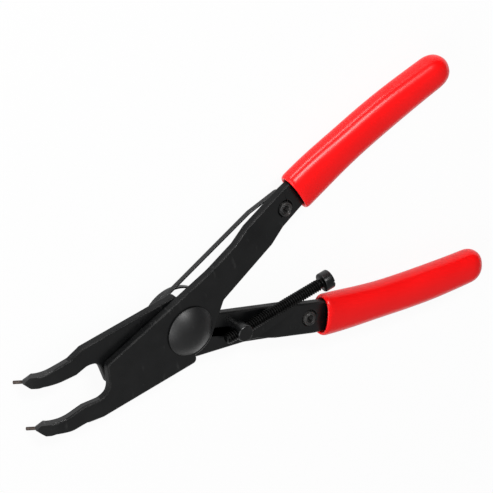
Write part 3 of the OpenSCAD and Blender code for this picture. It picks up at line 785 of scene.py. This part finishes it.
def cutSlot(bm):
    shape = screwShape
    slot = bmesh.new()
    bmesh.ops.create_cube(slot, size=1)
    size = (2 * shape["slotDepth"], shape["slotWidth"], 4 * shape["headR"])
    bmesh.ops.scale(slot, vec=size, verts=slot.verts)
    top = shape["underHead"] + shape["headHeight"] - shape["end"]
    bmesh.ops.translate(slot, vec=(top, 0, 0), verts=slot.verts)
    blank, cutter = looseObject("headBlank", bm), looseObject("slotCutter", slot)
    boolean = blank.modifiers.new("slot", "BOOLEAN")
    boolean.object = cutter
    boolean.operation = "DIFFERENCE"
    boolean.solver = "EXACT"
    bpy.context.view_layer.update()
    graph = bpy.context.evaluated_depsgraph_get()
    slotted = bpy.data.meshes.new_from_object(blank.evaluated_get(graph))
    bm = bmesh.new()
    bm.from_mesh(slotted)
    for spare in (blank, cutter):
        bpy.data.objects.remove(spare)
    bmesh.ops.remove_doubles(bm, verts=bm.verts, dist=0.0005)
    return bm


def makeScrew():
    shape = screwShape
    bm = makeHead()
    makeThread(bm)
    bmesh.ops.bridge_loops(bm, edges=[e for e in bm.edges if e.is_boundary])
    closePiece(bm)
    # thread crests in bare metal: partly wear, partly painted highlights along the crests
    wearAndGlintMask = bm.verts.layers.float.new("edgeWearAndGlint")
    for vert in bm.verts:
        onThread = vert.co.x < shape["underHead"] - shape["end"] - 0.1
        vert[wearAndGlintMask] = 1 if onThread and hypot(vert.co.y, vert.co.z) > shape["threadR"] - 0.02 else 0
    underHead = shape["underHead"] - shape["end"] + 0.05
    for face in bm.faces:
        face.material_index = 1 if face.calc_center_median().x < underHead else 0
    bmesh.ops.translate(bm, vec=(shape["end"], shape["y"], shape["z"]), verts=bm.verts)
    piece = finishPiece("stopScrew", bm, black, "stop_screw", "screw_body", 50)
    piece.data.materials.append(threadBlack)


makeScrew()
print("stop screw cut")

# tips
tipShape = {
    "base": (-69.528, 11.45, 2.521), "bend": 45, "shankR": 0.9, "shankLength": 7.5,
    "pinR": 0.7, "pinLength": 4, "round": 0.18, "steps": 32,
}


def makeTip(name, node, body, side):
    shape = tipShape
    r, pinR, length = shape["round"], shape["pinR"], shape["pinLength"]
    shankR, depth = shape["shankR"], -shape["shankLength"]
    section = [(0, depth), (shankR, depth), (shankR, 0), (pinR, 0)]
    section += arcPoints((pinR - r, length - r), r, 0, 90, 4) + [(0, length)]
    bm = bmesh.new()
    turnedPiece(bm, section, shape["steps"])
    x, y, z = shape["base"]
    turn = Matrix.Rotation(radians(-90 - shape["bend"]), 4, "Y")
    bmesh.ops.transform(bm, matrix=Matrix.Translation((x, side * y, z)) @ turn, verts=bm.verts)
    finishPiece(name, bm, bareTip, node, body, 50)


makeTip("frontTipPin", "front_tip", "front_body", -1)
makeTip("backTipPin", "back_tip", "back_body", 1)
print("tips set")

# floor, world and lamps
studio = {
    "floorZ": -0.0012, "floorSize": 8, "wallHeight": 0.5, "floorColour": (0.9, 0.9, 0.9), "floorGlow": 0.94,
    "skyLow": 0.03, "skyHigh": 0.36, "skyFrom": -0.3, "skyTo": 0.9, "skyTowards": (-0.3, -0.8, 0.5),
}
lampSet = {
    "keyBox": {"towards": (0.09, 0.69, 0.72), "far": 1.2, "size": (0.42, 0.2), "power": 7.8},
    "sideBox": {"towards": (-0.9, 0.3, 0.4), "far": 1.2, "size": (1.3, 1.2), "power": 13},
    "lowStrip": {"towards": (-0.05, 0.985, 0.03), "far": 1.2, "size": (0.5, 0.1), "power": 5.2},
}


def makeFloor():
    bm = bmesh.new()
    bmesh.ops.create_grid(bm, x_segments=1, y_segments=1, size=studio["floorSize"] / 2)
    rim = bmesh.ops.extrude_edge_only(bm, edges=bm.edges[:])["geom"]  # low pale wall round the floor
    bmesh.ops.translate(bm, vec=(0, 0, studio["wallHeight"]), verts=grownVerts(rim))
    bmesh.ops.translate(bm, vec=(0, 0, studio["floorZ"]), verts=bm.verts)
    mesh = bpy.data.meshes.new("paleFloor")
    bm.to_mesh(mesh)
    bm.free()
    floor = bpy.data.objects.new("paleFloor", mesh)
    bpy.context.scene.collection.objects.link(floor)
    material = bpy.data.materials.new("paleFloor")
    material.use_nodes = True
    tree = material.node_tree
    tree.nodes.remove(tree.nodes["Principled BSDF"])
    diffuse = addNode(tree, "ShaderNodeBsdfDiffuse", {"Color": (*studio["floorColour"], 1)})
    glow = addNode(tree, "ShaderNodeEmission", {"Color": (1, 1, 1, 1), "Strength": 1})
    path = addNode(tree, "ShaderNodeLightPath")
    seen = path.outputs["Is Camera Ray"]
    for ray in ("Is Glossy Ray", "Is Transmission Ray"):
        join = addNode(tree, "ShaderNodeMath", operation="MAXIMUM")
        tree.links.new(seen, join.inputs[0])
        tree.links.new(path.outputs[ray], join.inputs[1])
        seen = join.outputs[0]
    share = addNode(tree, "ShaderNodeMath", {1: studio["floorGlow"]}, operation="MULTIPLY")
    tree.links.new(seen, share.inputs[0])
    mix = addNode(tree, "ShaderNodeMixShader")
    tree.links.new(share.outputs[0], mix.inputs[0])
    tree.links.new(diffuse.outputs[0], mix.inputs[1])
    tree.links.new(glow.outputs[0], mix.inputs[2])
    tree.links.new(mix.outputs[0], tree.nodes["Material Output"].inputs["Surface"])
    mesh.materials.append(material)


def makeWorld():
    world = bpy.data.worlds.new("studioWorld")
    bpy.context.scene.world = world
    world.use_nodes = True
    tree = world.node_tree
    place = addNode(tree, "ShaderNodeTexCoord").outputs["Generated"]
    towards = addNode(tree, "ShaderNodeVectorMath", operation="DOT_PRODUCT")
    towards.inputs[1].default_value = Vector(studio["skyTowards"]).normalized()
    tree.links.new(place, towards.inputs[0])
    fade = [studio[key] for key in ("skyFrom", "skyTo", "skyLow", "skyHigh")]
    level = ranged(tree, towards.outputs["Value"], *fade)
    tree.links.new(level, tree.nodes["Background"].inputs["Strength"])
    tree.nodes["Background"].inputs["Color"].default_value = (1, 1, 1, 1)


def makeLamp(name, values):
    data = bpy.data.lights.new(name, "AREA")
    data.shape = "RECTANGLE"
    data.size, data.size_y = values["size"]
    data.energy = values["power"]
    lamp = bpy.data.objects.new(name, data)
    towards = Vector(values["towards"]).normalized()
    lamp.location = Vector((0.04, 0, 0)) + towards * values["far"]
    lamp.rotation_mode = "QUATERNION"
    lamp.rotation_quaternion = towards.to_track_quat("Z", "Y")
    bpy.context.scene.collection.objects.link(lamp)


makeFloor()
makeWorld()
for lampName, lampValues in lampSet.items():
    makeLamp(lampName, lampValues)
bpy.context.scene.view_settings.view_transform = "Standard"
print("studio lit")
